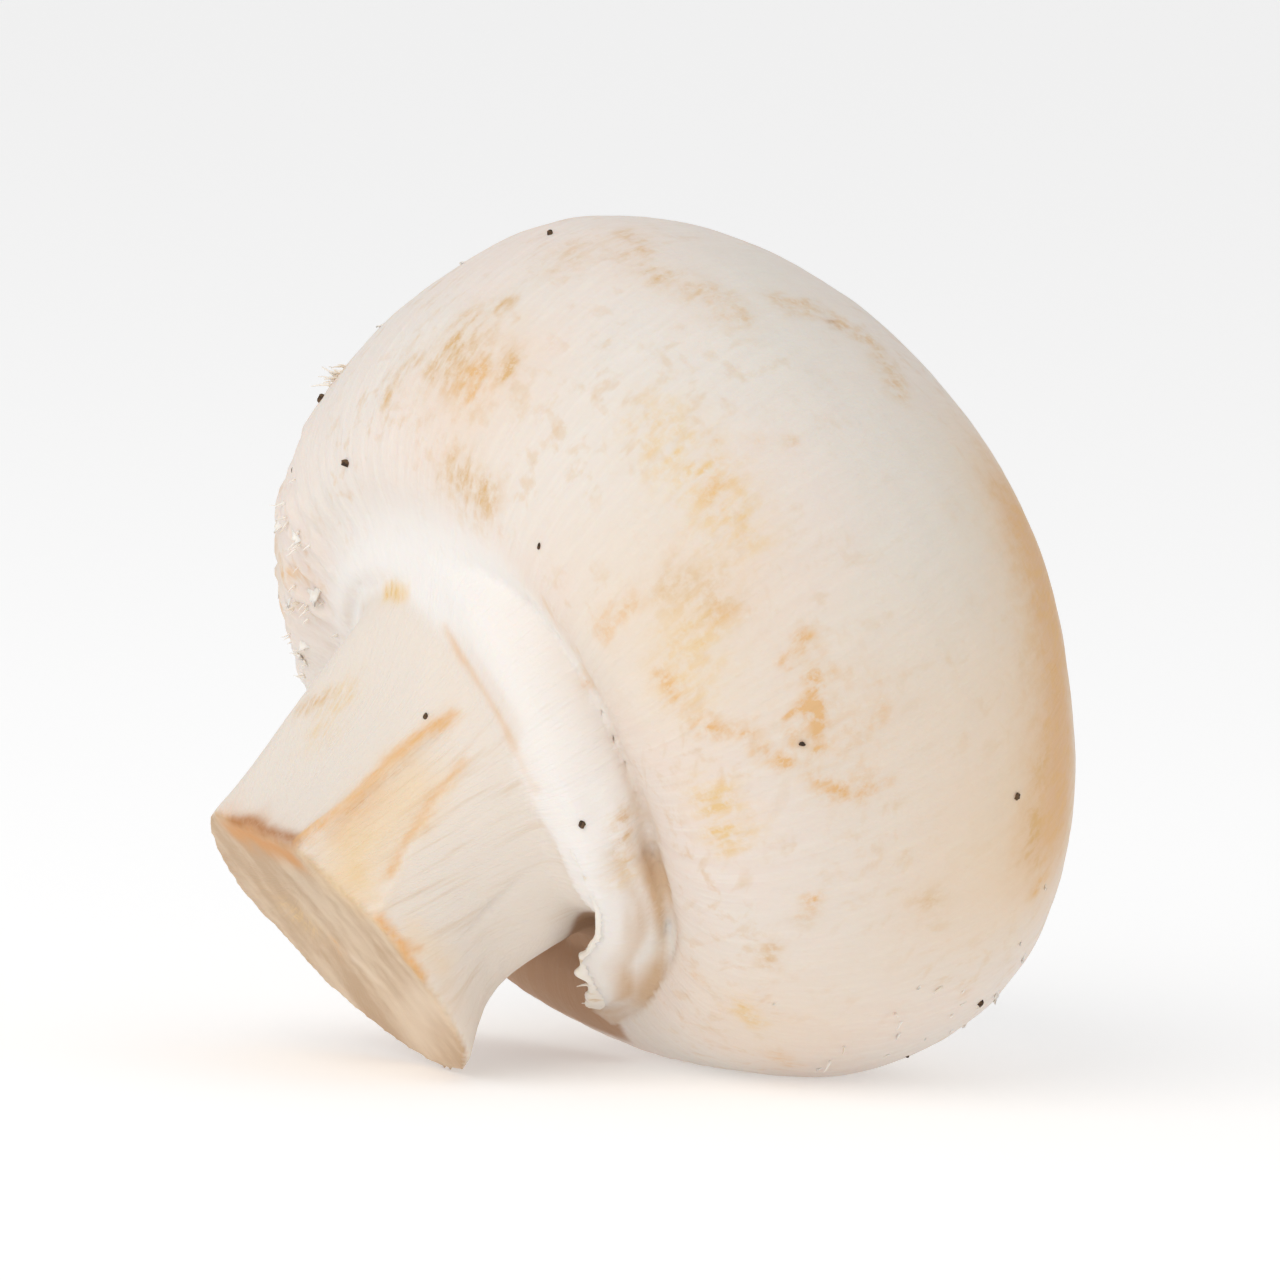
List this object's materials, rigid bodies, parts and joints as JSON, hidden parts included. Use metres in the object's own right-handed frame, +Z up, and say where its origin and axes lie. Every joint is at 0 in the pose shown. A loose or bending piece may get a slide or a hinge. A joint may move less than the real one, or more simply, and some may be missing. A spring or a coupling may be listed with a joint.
{
  "type": "button mushroom",
  "caption": "Closed-cup button mushroom lying on its side: rounded cap with rolled margin, thick veil collar round the root of the stem, short stem cut off flat.",
  "frame": {"origin": "on the surface the mushroom lies on, under the middle of its bounding box", "axes": "+Z up; the cut stem points down towards -X and -Y, and the dome of the cap faces +X and +Y"},
  "size_m": [0.048, 0.0488, 0.0475],
  "materials": {
    "flesh": "matte creamy white skin with tan bruises, paler collar and a tan cut face"
  },
  "bodies": {
    "root": {"mushroom": "flesh"}
  },
  "joints": []
}
